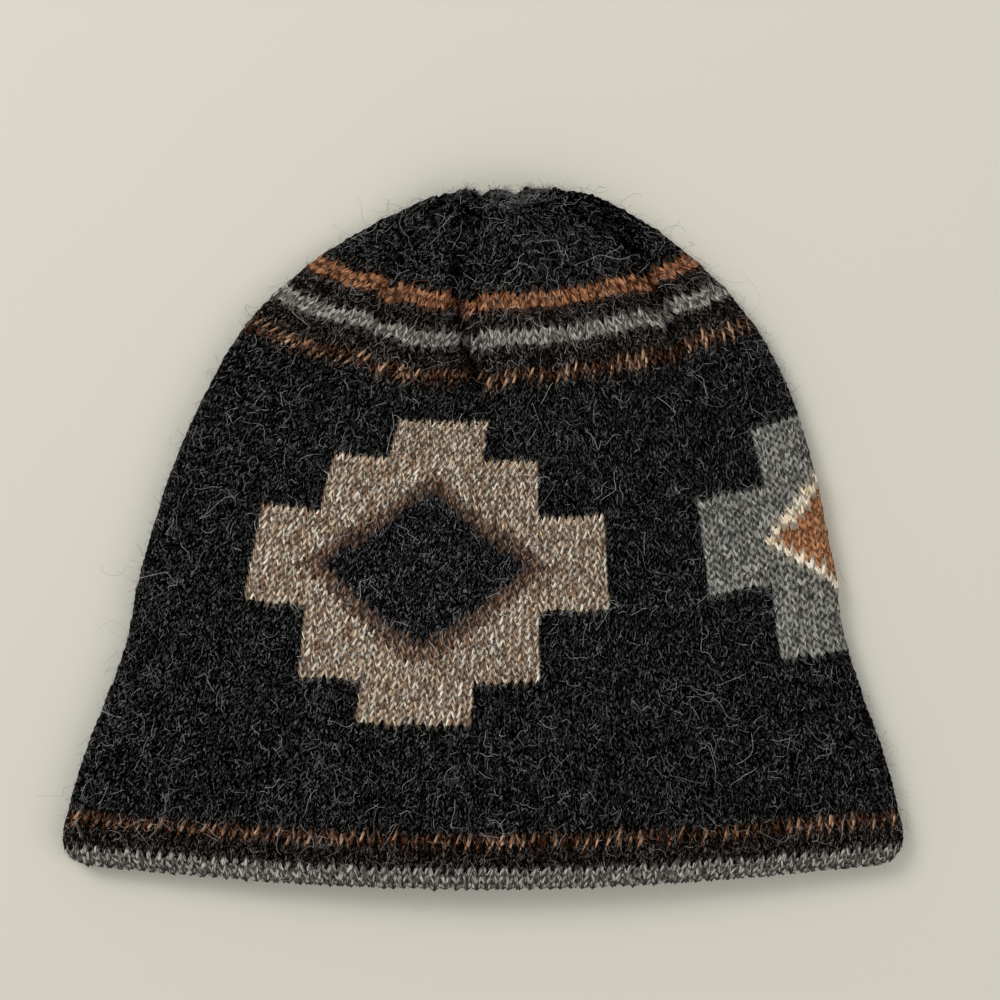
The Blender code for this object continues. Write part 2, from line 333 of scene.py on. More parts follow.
# How a yarn knits up: steps and sides of a leg, what is left of it at its tips, factors on its
# height and bulk, how far it stands proud, and how light its sunk ends stay
plainHabits = {"dark": False, "plies": 1, "steps": 3, "sides": 3, "tip": 0.22, "tall": 1.0, "fat": 1.0,
               "proud": 0.0, "ends": 0.22}
ownHabits = {
    "charcoal": {"dark": True, "steps": 2},
    "ink": {"dark": True, "steps": 2},
    "dusk": {"dark": True, "steps": 2},
    "brownMarl": {"dark": True, "tall": 1.2, "fat": 0.58},
    "tanMarl": {"plies": 2},
    "tawny": {"plies": 2},
    "greyMarl": {"sides": 4, "tip": 0.34},
    "cream": {"sides": 4, "tip": 0.34, "tall": 1.15, "fat": 1.15, "proud": 0.35 * mm, "ends": 0.40},
    "rust": {"sides": 4, "tip": 0.6, "tall": 0.98, "fat": 1.25, "ends": 0.26},
    "sienna": {"sides": 4, "tip": 0.34, "fat": 1.15, "ends": 0.36},
    "silver": {"sides": 4, "tip": 0.6, "fat": 1.2, "ends": 0.34},
}
habits = {name: dict(plainHabits, **ownHabits.get(name, {})) for name in yarnNames}

# Knitting chart, in courses from the rim and wales round the hat. Stripes: yarn, from and to course
stripes = (
    ("brownMarl", 6, 8), ("brownMarl", 73, 75), ("silver", 78, 80), ("rust", 83, 85),
    ("dusk", 3, 6), ("dusk", 75, 78), ("dusk", 80, 83),
)
# Steps: from and to course, from and to wale. Diamonds: half size and yarn, from the inside out
motifs = (
    {"centre": 33.0, "middle": 45.7, "rest": "tanMarl",
     "steps": ((24, 30, -6, 6), (30, 40, -13, 13), (40, 53, -20, 21), (53, 61, -13, 13), (61, 67, -6, 6)),
     "diamonds": ((10.9, "ink"), (12.0, "umber"), (14.0, "tawny"))},
    {"centre": 86.0, "middle": 45.3, "rest": "greyMarl",
     "steps": ((23, 30, -4, 4), (30, 40, -13.6, 13.6), (40, 52, -21, 21), (52, 60, -12.6, 12.6),
               (60, 67, -3, 3)),
     "diamonds": ((12.2, "sienna"), (13.5, "cream"))},
)
diamondSquash = (0.95, 1.03)
# Decreases of the crown: from this course on, so many stitches are left in a gore
goreTable = ((0, 16), (68, 14), (72, 12), (78, 10), (84, 8), (88, 6), (94, 4), (97, 3), (98, 2), (99, 1))


def stitchesIn(row):
    return gores * [left for start, left in goreTable if row >= start][-1]


def yarnAt(wale, row):
    for yarn, low, high in stripes:
        if low <= row < high:
            return yarn
    if row < hat["hemCourses"]:
        return "hemGrey"
    for motif in motifs:
        across = wale + 0.5 - motif["centre"]
        if any(low <= row < high and left < across < right for low, high, left, right in motif["steps"]):
            away = abs(across) * diamondSquash[0] + abs(row + 0.5 - motif["middle"]) * diamondSquash[1]
            return next((yarn for size, yarn in motif["diamonds"] if away < size), motif["rest"])
    return "charcoal"


# Unevenness of hand-moved needles: size in stitches, waves round, pace up, shift with the seed
waves = ((0.16, 23, 0.31, 1), (0.12, 41, -0.47, 2), (0.10, 7, 1.9, 3))
# Beside each crease the courses are pulled down or up: share at the middle course, courses down, lean
drags = (
    (0.221, 1.2, -0.37), (0.194, -0.2, -0.37), (0.421, 0.7, 0.16), (0.444, -0.3, 0.16),
    (0.124, 0.6, -0.27), (0.100, -0.4, -0.27),
)
drag = {"reach": 0.010, "first": 62, "grows": 9.0, "last": 98, "fades": 6.0}
# Cloth laid by hand lies a little askew: share, course, reach round, reach up, courses down, wales aside
drifts = (
    (0.33, 50, 0.035, 16, 0.7, 0.0), (0.43, 53, 0.014, 8, -0.6, 0.0), (0.06, 82, 0.07, 6, 0.6, 0.0),
    (0.172, 79, 0.03, 10, 1.0, 0.0), (0.462, 85, 0.025, 3.5, 0.7, 0.0), (0.20, 25, 0.07, 9, 0.0, -0.5),
    (0.33, 47, 0.03, 10, 0.0, -0.3),
)


def wander(share, row, seed):
    turn = share * 2 * math.pi
    return sum(size * np.sin(turn * times + row * pace + shift * seed) for size, times, pace, shift in waves)


def pleatDrag(share, row):
    strength = (smoothStep((row - drag["first"]) / drag["grows"])
                * smoothStep((drag["last"] - row) / drag["fades"]))
    high = row / hat["courses"] - crease["middle"]
    return -strength * sum(down * np.exp(-((share - at - lean * high) / drag["reach"]) ** 2)
                           for at, down, lean in drags)


def drift(share, row):
    # courses down and wales aside
    away = (share + 0.5) % 1.0 - 0.5
    down, aside = 0, 0
    for atShare, atRow, reachRound, reachUp, courses, wales in drifts:
        near = np.exp(-((away - atShare) / reachRound) ** 2 - ((row - atRow) / reachUp) ** 2)
        down = down + courses * near
        aside = aside + wales * near
    return down, aside


def courseOf(share, row):
    # where a course lies at that place round the hat, in courses from the rim
    return row + pleatDrag(share, row) - drift(share, row)[0]


def stitchTable(rows):
    # every stitch of the given courses: share of the way round, course, spacing, yarn and row
    table = []
    for row in rows:
        count = stitchesIn(row)
        share = (np.arange(count) + 0.5) / count
        if count < stitchesRound:  # the decreases run up the valleys
            share = (share + valley["first"]) % 1.0
        yarn = np.array([yarnNames.index(yarnAt(wale, row)) for wale in range(count)])
        aside = 0.35 * wander(share, row, 1.0) + drift(share, row)[1]
        course = (courseOf(share, row + 0.5) + 0.5 * wander(share, row, 2.0)) / hat["courses"]
        table.append(np.stack([share + aside / count, course, np.full(count, 1.0 / count), yarn,
                               np.full(count, row)], -1))
    return np.concatenate(table)


def newMaterial(name, roughness, specular):
    material = bpy.data.materials.new(name)
    material.use_nodes = True
    shader = material.node_tree.nodes["Principled BSDF"]
    shader.inputs["Roughness"].default_value = roughness
    shader.inputs["Specular IOR Level"].default_value = specular
    return material, shader


def addBump(tree, shader, height, strength, distance):
    bump = addNode(tree, "ShaderNodeBump", {"Height": height, "Strength": strength, "Distance": distance})
    tree.links.new(bump.outputs["Normal"], shader.inputs["Normal"])


def fillRamp(ramp, places, codes):
    # a new ramp has two stops already
    stops = ramp.color_ramp.elements
    for number, (at, code) in enumerate(zip(places, codes)):
        stop = stops[number] if number < 2 else stops.new(at)
        stop.position = at
        stop.color = linearColour(code)


def yarnMaterial(name):
    # carded wool, spun and brushed: quite matt, because its fibres point every way. Dark and light
    # fibres are drawn as streaks along a leg, 0.3 mm deep, and few legs look alike
    dark = habits[name]["dark"]
    material, shader = newMaterial(name + "Wool", 0.85, 0.0 if dark else 0.08)
    tree = material.node_tree
    spot = addNode(tree, "ShaderNodeAttribute", attribute_name="legSpot").outputs["Vector"]
    luck = addNode(tree, "ShaderNodeAttribute", attribute_name="luck").outputs["Vector"]
    luckParts = splitVector(tree, luck)
    stretched = vectorNode(tree, "MULTIPLY", spot, (3.2, 1.8, 3.2) if dark else (3.0, 0.8, 3.0))
    shuffled = vectorNode(tree, "MULTIPLY_ADD", luck, (37, 53, 41), stretched)
    links = {"Vector": shuffled, "Scale": 1.0, "Detail": 2.0, "Roughness": 0.6}
    fibres = addNode(tree, "ShaderNodeTexNoise", links).outputs["Fac"]
    ramp = addNode(tree, "ShaderNodeValToRGB", {"Fac": fibres})
    low, high = (0.44, 0.64) if dark else (0.34, 0.62)
    fillRamp(ramp, (low, (low + high) / 2, high), yarns[name])
    # both ends of a leg dive out of the light, the upper one more
    far = mathNode(tree, "ABSOLUTE", mathNode(tree, "ADD", splitVector(tree, spot)[1], 0.12))
    ends = mappedValue(tree, far, (0.24, 0.56), (1.0, habits[name]["ends"]), interpolation_type="SMOOTHSTEP")
    # the first part of luck is the leg's tone, with the painted shade of the creases in it
    level = mathNode(tree, "MULTIPLY", luckParts[0], ends)
    colour = scaledVector(tree, ramp.outputs["Color"], level)
    if name in marlShades:  # some legs come up in another colour of the mix
        flecks = addNode(tree, "ShaderNodeValToRGB", {"Fac": luckParts[1]})
        flecks.color_ramp.interpolation = "CONSTANT"
        fillRamp(flecks, fleckPlaces, marlShades[name])
        colour = vectorNode(tree, "MULTIPLY", colour, flecks.outputs["Color"])
    if name == "brownMarl":  # a dark brown yarn with stray pale lengths
        stray = mappedValue(tree, luckParts[1], (0.28, 0.74), (0.0, 1.0))
        streak = mappedValue(tree, fibres, (0.38, 0.58), (0.25, 1.1))
        lit = mathNode(tree, "MULTIPLY", mathNode(tree, "MULTIPLY", stray, ends), streak)
        pale = scaledVector(tree, linearColour("#C69F80")[:3], lit)
        colour = vectorNode(tree, "ADD", colour, pale)
    tree.links.new(colour, shader.inputs["Base Color"])
    addBump(tree, shader, fibres, 0.5, 0.3 * mm)
    return material


yarnMaterials = {name: yarnMaterial(name) for name in yarnNames}
print("yarns spun")

# The legs of the stitches: each stitch is a V of two plump legs whose ends dive into the fabric.
# Sizes across are in stitch widths and sizes up in courses
leg = {
    "thickness": 0.41, "plyThickness": 0.26, "plyApart": 0.115, "plyTwist": 0.04, "length": 1.38,
    "spread": 0.235, "slant": 0.36, "dive": 0.13, "sink": 0.5, "arch": 0.45, "low": 0.06,
    "strayAngle": 0.06, "strayPlace": 0.03, "straySize": 0.10, "strayLength": 0.08, "straySink": 0.2,
    "underneath": 0.1 * mm, "alike": 0.7, "swapped": 0.35, "shadedPly": 0.8,
}


def socketNamed(tree, name):
    items = tree.interface.items_tree
    return next(item.identifier for item in items if item.item_type == "SOCKET" and item.name == name)


def nodeGroup(name, inputs):
    tree = bpy.data.node_groups.new(name, "GeometryNodeTree")
    tree.interface.new_socket("Geometry", in_out="INPUT", socket_type="NodeSocketGeometry")
    for label, kind, value in inputs:
        socket = tree.interface.new_socket(label, in_out="INPUT", socket_type=kind)
        if value is not None:
            socket.default_value = value
    tree.interface.new_socket("Geometry", in_out="OUTPUT", socket_type="NodeSocketGeometry")
    return tree, tree.nodes.new("NodeGroupInput"), tree.nodes.new("NodeGroupOutput")


def storedVector(tree, name):
    kind = "GeometryNodeInputNamedAttribute"
    return addNode(tree, kind, {"Name": name}, data_type="FLOAT_VECTOR").outputs[0]


def copiesOnPoints(tree, points, shape):
    # the shape at every point, turned and sized by what is stored there
    rotation = addNode(tree, "FunctionNodeEulerToRotation", {0: storedVector(tree, "turn")})
    copies = addNode(tree, "GeometryNodeInstanceOnPoints", {
        "Points": points, "Instance": shape, "Rotation": rotation.outputs[0],
        "Scale": storedVector(tree, "size")})
    return addNode(tree, "GeometryNodeRealizeInstances", {"Geometry": copies.outputs[0]}).outputs[0]


def tube(tree, curve, radius, sides, thickness):
    path = addNode(tree, "GeometryNodeSetCurveRadius", {"Curve": curve, "Radius": radius})
    ring = addNode(tree, "GeometryNodeCurvePrimitiveCircle", {"Resolution": sides, "Radius": thickness})
    solid = addNode(tree, "GeometryNodeCurveToMesh", {
        "Curve": path.outputs[0], "Profile Curve": ring.outputs[0], "Fill Caps": True})
    return addNode(tree, "GeometryNodeSetShadeSmooth", {"Geometry": solid.outputs[0]}).outputs[0]


def finishTree(tree, given, result, geometry):
    wool = given.outputs["Wool"]
    dressed = addNode(tree, "GeometryNodeSetMaterial", {"Geometry": geometry, "Material": wool})
    tree.links.new(dressed.outputs[0], result.inputs[0])
    return tree


def legTree():
    tree, given, result = nodeGroup("Knit legs", (
        ("Steps", "NodeSocketInt", 3), ("Sides", "NodeSocketInt", 4), ("Arch", "NodeSocketFloat", 0.5),
        ("Tip", "NodeSocketFloat", 0.35), ("Wool", "NodeSocketMaterial", None)))
    arch = given.outputs["Arch"]
    low = mathNode(tree, "MULTIPLY", arch, -1.0)
    arc = addNode(tree, "GeometryNodeCurveQuadraticBezier", {
        "Resolution": 12, "Start": joinedVector(tree, 0.0, -0.5, low),
        "Middle": joinedVector(tree, 0.0, 0.0, arch), "End": joinedVector(tree, 0.0, 0.5, low)})
    posts = mathNode(tree, "ADD", given.outputs["Steps"], 1.0)
    path = addNode(tree, "GeometryNodeResampleCurve", {"Curve": arc.outputs[0], "Count": posts})
    along = addNode(tree, "GeometryNodeSplineParameter").outputs["Factor"]
    centred = mathNode(tree, "MULTIPLY_ADD", along, 2.0, -1.0)
    squared = mathNode(tree, "POWER", centred, 2.0)
    plump = mappedValue(tree, squared, (0.0, 1.0), (0.5, given.outputs["Tip"]))
    solid = tube(tree, path.outputs[0], plump, given.outputs["Sides"], 1.0)
    where = addNode(tree, "GeometryNodeInputPosition").outputs[0]
    links = {"Geometry": solid, "Name": "legSpot", "Value": where}
    marked = addNode(tree, "GeometryNodeStoreNamedAttribute", links, data_type="FLOAT_VECTOR", domain="POINT")
    real = copiesOnPoints(tree, given.outputs["Geometry"], marked.outputs[0])
    return finishTree(tree, given, result, real)


def hairTree():
    tree, given, result = nodeGroup("Loose fibres", (
        ("Steps", "NodeSocketInt", 4), ("Lift", "NodeSocketFloat", 0.12), ("Curl", "NodeSocketFloat", 0.3),
        ("Curl scale", "NodeSocketFloat", 500.0), ("Thickness", "NodeSocketFloat", 0.07 * mm),
        ("Wool", "NodeSocketMaterial", None)))
    lift = given.outputs["Lift"]
    half = mathNode(tree, "MULTIPLY", lift, 0.5)
    path = addNode(tree, "GeometryNodeCurveQuadraticBezier", {
        "Resolution": given.outputs["Steps"], "Start": (0, 0, 0),
        "Middle": joinedVector(tree, 0.0, 0.5, lift), "End": joinedVector(tree, 0.0, 1.0, half)})
    real = copiesOnPoints(tree, given.outputs["Geometry"], path.outputs[0])
    # each fibre curls in its own way, more towards its tip
    where = addNode(tree, "GeometryNodeInputPosition").outputs[0]
    own = mathNode(tree, "MULTIPLY", splitVector(tree, storedVector(tree, "luck"))[0], 60.0)
    links = {"Vector": where, "W": own, "Scale": given.outputs["Curl scale"], "Detail": 0.0}
    noise = addNode(tree, "ShaderNodeTexNoise", links, noise_dimensions="4D")
    centred = vectorNode(tree, "SUBTRACT", noise.outputs["Color"], (0.5, 0.5, 0.5))
    along = addNode(tree, "GeometryNodeSplineParameter")
    reach = mathNode(tree, "MULTIPLY", along.outputs["Length"], given.outputs["Curl"])
    push = scaledVector(tree, centred, reach)
    curled = addNode(tree, "GeometryNodeSetPosition", {"Geometry": real, "Offset": push})
    # and none goes down into the floor
    now = splitVector(tree, addNode(tree, "GeometryNodeInputPosition").outputs[0])
    safe = joinedVector(tree, now[0], now[1], mathNode(tree, "MAXIMUM", now[2], 0.3 * mm))
    lying = addNode(tree, "GeometryNodeSetPosition", {"Geometry": curled.outputs[0], "Position": safe})
    taper = mappedValue(tree, along.outputs["Factor"], (0.0, 1.0), (1.0, 0.45))
    hair = tube(tree, lying.outputs[0], taper, 3, given.outputs["Thickness"])
    return finishTree(tree, given, result, hair)


legNodes = legTree()
hairNodes = hairTree()


def scattered(name, tree, seeds, values):
    # runs a tree on loose points, with what is stored for each, and keeps its result as a plain mesh
    mesh = bpy.data.meshes.new(name)
    mesh.from_pydata(seeds["point"].tolist(), [], [])
    for label in [label for label in seeds if label != "point"]:
        kind, field = ("FLOAT_COLOR", "color") if label == "tint" else ("FLOAT_VECTOR", "vector")
        layer = mesh.attributes.new(label, kind, "POINT")
        layer.data.foreach_set(field, np.asarray(seeds[label], np.float32).ravel())
    holder = linked(name + "Points", mesh)
    modifier = holder.modifiers.new("grow", "NODES")
    modifier.node_group = tree
    for label, value in values.items():
        modifier[socketNamed(tree, label)] = value
    graph = bpy.context.evaluated_depsgraph_get()
    grown = bpy.data.meshes.new_from_object(holder.evaluated_get(graph), preserve_all_data_layers=True,
                                            depsgraph=graph)
    for label in ("turn", "size"):
        if label in grown.attributes:
            grown.attributes.remove(grown.attributes[label])
    holder.modifiers.remove(modifier)
    bpy.data.objects.remove(holder)
    return linked(name, grown)


def ownedBy(piece, node):
    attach(piece, "root")
    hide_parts(node)
    print(piece.name, sum(p.loop_total - 2 for p in piece.data.polygons), "triangles")


def legsFrom(spots, width, height, dice, reach, plies=1, tones=(0.8, 1.2), fat=1.0):
    # two legs for each stitch, each of one or two plies: points with a turn, a size and their luck
    point, side, up, normal = spots
    count = len(point)
    found = []
    shared = dice.random(count)
    for hand in (-1, 1):
        stray = dice.normal(0, 1, (count, 5))
        tint = np.where(dice.random(count) < leg["alike"], shared, dice.random(count))
        swapped = np.where(dice.random(count) < leg["swapped"], -1, 1)
        for ply in ((0,) if plies == 1 else (-1, 1)):
            own = dice.normal(0, 1, (count, 2))
            slant = hand * leg["slant"] + leg["strayAngle"] * stray[:, 0] + leg["plyTwist"] * ply
            flatAim = up * np.cos(slant)[:, None] + side * np.sin(slant)[:, None]
            aim = unit(flatAim - normal * leg["dive"])
            across = unit(np.cross(aim, normal))
            bulk = fat * (leg["thickness"] if plies == 1 else leg["plyThickness"])
            thick = bulk * width * (1 + leg["straySize"] * stray[:, 4])
            long = reach * leg["length"] * height * (1 + leg["strayLength"] * stray[:, 0])
            aside = hand * leg["spread"] * width + leg["strayPlace"] * width * stray[:, 1]
            raised = height * (leg["strayPlace"] * (stray[:, 2] + own[:, 0]) - leg["low"])
            sunk = (leg["sink"] * thick * (1 + leg["straySink"] * own[:, 1])
                    + leg["underneath"] * (stray[:, 3] > 0))
            centre = (point + side * aside[:, None] + across * (ply * leg["plyApart"] * width)[:, None]
                      + up * raised[:, None] - normal * sunk[:, None])
            tone = tones[0] + (tones[1] - tones[0]) * dice.random(count)
            fleck = tint if ply == 0 else 0.5 * dice.random(count) + 0.5 * (ply * swapped < 0)
            tone = tone * np.where(ply * swapped < 0, leg["shadedPly"], 1.0)
            luck = np.stack([tone, fleck, dice.random(count)], -1)
            turn = eulerOf(across, aim, unit(np.cross(across, aim)))
            found.append((centre, turn, np.stack([thick, long, thick], -1), luck))
    labels = ("point", "turn", "size", "luck")
    return {label: np.concatenate(parts) for label, parts in zip(labels, zip(*found))}


# The knitting of the body. Its last courses are drawn up small: limits on the widths and lengths
knitting = {"widest": 2.7 * mm, "narrowed": (4.0, 0.6), "shortened": (6.0, 0.35), "lastFrame": 0.975,
            "darkTones": (0.5, 1.35), "paleTones": (0.82, 1.16), "frontShares": (0.978, 0.522)}


def knit(name, table, seed, lying=False):
    dice = np.random.default_rng(seed)
    yarn = yarnNames[int(table[0, 3])]
    habit = habits[yarn]
    share, course, spacing = table[:, 0], table[:, 1], table[:, 2]
    left = (1 - course) * hat["courses"]
    near = np.clip(left / knitting["narrowed"][0], knitting["narrowed"][1], 1.0)
    short = np.clip(left / knitting["shortened"][0], knitting["shortened"][1], 1.0)
    highest = 1 - 1.1 * short * leg["length"] / hat["courses"]
    point = face(share, np.minimum(course, highest), habit["proud"])
    spots = (point, *frames(share, np.minimum(course, knitting["lastFrame"]))[1:])
    width = np.minimum(girth(course) * spacing, knitting["widest"] * near)
    tones = knitting["darkTones" if habit["dark"] else "paleTones"]
    legs = legsFrom(spots, width, courseHeight, dice, short * habit["tall"], habit["plies"], tones,
                    habit["fat"])
    luck = legs["luck"]
    copies = len(luck) // len(share)
    if yarn == "brownMarl":  # bright in runs, and on the legs that lean right
        turn = 2 * math.pi * share
        runs = 0.5 + 0.5 * np.sin(13 * turn + 0.70 * math.pi * np.sin(3 * turn) + 1.0)
        leans = np.repeat((0.5, 1.0), len(luck) // 2)
        luck[:, 1] *= leans * (0.55 + 0.45 * np.tile(runs, copies))
    # painted shade: legs down in the creases get a darker tone
    luck[:, 0] *= np.tile(paintedCreaseShade(share, course), copies)
    values = {"Steps": habit["steps"], "Sides": habit["sides"], "Arch": leg["arch"], "Tip": habit["tip"],
              "Wool": yarnMaterials[yarn]}
    if lying:  # the side that lies on the table
        values.update({"Steps": 1, "Arch": 0.0, "Tip": 0.4})
    ownedBy(scattered(name, legNodes, legs, values), "knit_body")


body = stitchTable(range(hat["hemCourses"], hat["courses"]))
bodyShare, bodyYarn, bodyRow = body[:, 0] % 1.0, body[:, 3], body[:, 4]
front = (bodyShare < knitting["frontShares"][1]) | (bodyShare > knitting["frontShares"][0])
charcoal = bodyYarn == yarnNames.index("charcoal")
for name, lying, low, high, seed in (
        ("knitFrontLower", False, 3, 32, 11), ("knitFrontMiddle", False, 32, 56, 12),
        ("knitFrontUpper", False, 56, 100, 13), ("knitBackLower", True, 3, 45, 14),
        ("knitBackUpper", True, 45, 100, 15)):
    knit(name, body[charcoal & (front != lying) & (bodyRow >= low) & (bodyRow < high)], seed, lying)
for number, yarn in enumerate(yarnNames[1:-1]):
    knit(yarn + "Knitting", body[bodyYarn == yarnNames.index(yarn)], 20 + number)
print("body knitted")

# The turned hem: its courses run over the rim and up inside, in shorter stitches from the rim on
hemRound = {"radius": 1.7 * mm, "legReach": (0.9, 0.58), "trim": 1.2 * mm, "inset": 0.8 * mm}
hemWay = 2 * (hat["hemCourses"] * courseHeight - hemRound["radius"]) + math.pi * hemRound["radius"]


def hemFrames(share, along):
    # along is the way down the outside, over the rim and up the inside, from the top of the band
    radius, length = hemRound["radius"], hat["length"]
    top = hat["hemCourses"] / hat["courses"]
    straight = top * length - radius
    bend = math.pi * radius
    angle = np.clip((along - straight) / radius, 0, math.pi)
    inside = radius / length + np.maximum(0, along - straight - bend) / length
    course = np.where(along < straight, top - along / length, inside)
    core, side, up, normal = frames(share, course, hat["hemProud"] - radius - hemRound["inset"])
    out = unit(normal * np.cos(angle)[:, None] - up * np.sin(angle)[:, None])
    climb = unit(up * np.cos(angle)[:, None] + normal * np.sin(angle)[:, None])
    point = core + out * radius + up * (hemRound["trim"] * np.sin(angle))[:, None]
    return point, side, climb, out


def hemStitches():
    rows = int(round(hemWay / courseHeight))
    pitch = hemWay / rows
    share = np.tile((np.arange(stitchesRound) + 0.5) / stitchesRound, rows)
    along = np.repeat((np.arange(rows) + 0.5) * pitch, stitchesRound)
    share = share + wander(share, along / pitch, 5.0) * 0.35 / stitchesRound
    spots = hemFrames(share, along + 0.3 * pitch * wander(share, along / pitch, 6.0))
    bent = np.clip((along - 1.5 * courseHeight) / courseHeight, 0, 1)
    long, short = hemRound["legReach"]
    width = girth(np.full(len(share), 0.015)) / stitchesRound
    legs = legsFrom(spots, width, pitch, np.random.default_rng(40), long + (short - long) * bent)
    values = {"Steps": 3, "Sides": 4, "Arch": leg["arch"], "Tip": 0.5, "Wool": yarnMaterials["hemGrey"]}
    ownedBy(scattered("hemKnitting", legNodes, legs, values), "hem_band")


hemStitches()
print("hem knitted")

# The ground: what shows between the legs, and the smooth inside of the wall
ground = {"depth": 1.0 * mm, "innerRows": 24, "innerEnd": 0.98, "inside": "#3A3A3A", "insideLevel": 1.35,
          "yarnLevel": 2.0, "hemLevel": 0.7, "hemRows": 16}


def groundMaterial():
    # the shaded core of knitted wool: matt and rough, no fibre of it in the light
    material, shader = newMaterial("groundWool", 0.95, 0.0)
    tree = material.node_tree
    tint = addNode(tree, "ShaderNodeAttribute", attribute_name="tint").outputs["Color"]
    spot = addNode(tree, "ShaderNodeTexCoord").outputs["Object"]
    links = {"Vector": spot, "Scale": 1400.0, "Detail": 2.0}
    noise = addNode(tree, "ShaderNodeTexNoise", links).outputs["Fac"]
    level = mappedValue(tree, noise, (0.3, 0.7), (0.5, 1.5))
    tree.links.new(scaledVector(tree, tint, level), shader.inputs["Base Color"])
    addBump(tree, shader, noise, 0.6, 0.4 * mm)
    return material


groundWool = groundMaterial()


def closedShell(name, rings, tints, gapAfter=None):
    # a skin over rings that run round and back to the first; rings of no width close themselves
    columns = len(rings[0])
    faces = []
    for row in range(len(rings)):
        if row == gapAfter:
            continue
        here, there = row * columns, (row + 1) % len(rings) * columns
        for c in range(columns):
            d = (c + 1) % columns
            faces.append((here + c, here + d, there + d, there + c))
    mesh = bpy.data.meshes.new(name)
    mesh.from_pydata(np.concatenate(rings).tolist(), [], faces)
    layer = mesh.attributes.new("tint", "FLOAT_COLOR", "POINT")
    layer.data.foreach_set("color", np.asarray(tints, np.float32).ravel())
    mesh.validate()
    bm = bmesh.new()
    bm.from_mesh(mesh)
    bmesh.ops.remove_doubles(bm, verts=bm.verts, dist=1e-5)
    bmesh.ops.recalc_face_normals(bm, faces=bm.faces)
    bm.to_mesh(mesh)
    bm.free()
    mesh.shade_smooth()
    mesh.materials.append(groundWool)
    return linked(name, mesh)


def drawnTogether(ring):
    return np.repeat(ring.mean(axis=0)[None], stitchesRound, axis=0)


def bodyGround():
    share = np.arange(stitchesRound) / stitchesRound
    start = hat["hemCourses"] / hat["courses"]
    courses = np.append(np.arange(hat["hemCourses"], hat["courses"]) / hat["courses"],
                        (*np.linspace(0.991, 0.999, 9), 1.0))
    outer, tints = [], []
    for c in courses:
        depth = ground["depth"] * np.clip((1 - c) * hat["courses"] / 8.0, 0.3, 1.0)
        lying = courseOf(share, c * hat["courses"]) / hat["courses"]
        outer.append(face(share, np.minimum(1, lying), -depth))
        row = min(hat["courses"] - 1, int(round(c * hat["courses"])))
        scale = stitchesIn(row) / stitchesRound
        for w in range(stitchesRound):
            tints.append(linearColour(yarns[yarnAt(int(w * scale), row)][0], ground["yarnLevel"]))
    inner = []
    for c in start + (ground["innerEnd"] - start) * (1 - (1 - np.linspace(0, 1, ground["innerRows"])) ** 1.4):
        depth = hat["wall"] * min(1.0, (1 - c) / 0.06)
        inner.append(face(share, np.full(stitchesRound, c), -depth))
        tints += [linearColour(ground["inside"], ground["insideLevel"])] * stitchesRound
    outer[-1] = drawnTogether(outer[-1])
    inner[-1] = drawnTogether(inner[-1])
    piece = closedShell("knitGround", outer + inner[::-1], tints, gapAfter=len(outer) - 1)
    ownedBy(piece, "knit_body")


def hemGround():
    share = np.arange(stitchesRound) / stitchesRound
    rings = []
    for along in np.linspace(0.1 * mm, hemWay - 0.1 * mm, ground["hemRows"]):
        point, side, up, normal = hemFrames(share, np.full(stitchesRound, along))
        rings.append(point - normal * ground["depth"] * 0.2)
    tint = linearColour(yarns["hemGrey"][1], ground["hemLevel"])
    piece = closedShell("hemGround", rings, [tint] * (stitchesRound * len(rings)))
    ownedBy(piece, "hem_band")


bodyGround()
hemGround()
print("ground made")

# Loose fibres: the halo of fine wool hairs over the whole hat
fuzz = {"shades": ("#161616", "#CCCCC8"), "sunk": 0.25 * mm, "foldReach": 0.010, "onPale": 0.45,
        "down": (1.0 * mm, 3.0 * mm), "curls": (2.5 * mm, 7.5 * mm), "long": (7 * mm, 16 * mm)}


def fuzzMaterial():
    # single scaly hairs: half see-through in life, so a soft mid tone with some shine
    material, shader = newMaterial("looseWoolFibre", 0.6, 0.2)
    tint = addNode(material.node_tree, "ShaderNodeAttribute", attribute_name="tint")
    material.node_tree.links.new(tint.outputs["Color"], shader.inputs["Base Color"])
    return material


fuzzWool = fuzzMaterial()


def fuzzTints(yarn, dark, luck, bright):
    low, high = (np.array(linearColour(code)) for code in fuzz["shades"])
    tint = low + (high - low) * (bright * (0.08 + 0.92 * luck[:, 1:2] ** 2.2))
    for i in np.flatnonzero(~dark):  # on pale yarn the hairs have its own colour
        body, light = (np.array(linearColour(code)) for code in yarns[yarn[i]][1:])
        tint[i] = body + (light - body) * (0.2 + 0.8 * luck[i, 1])
    return tint


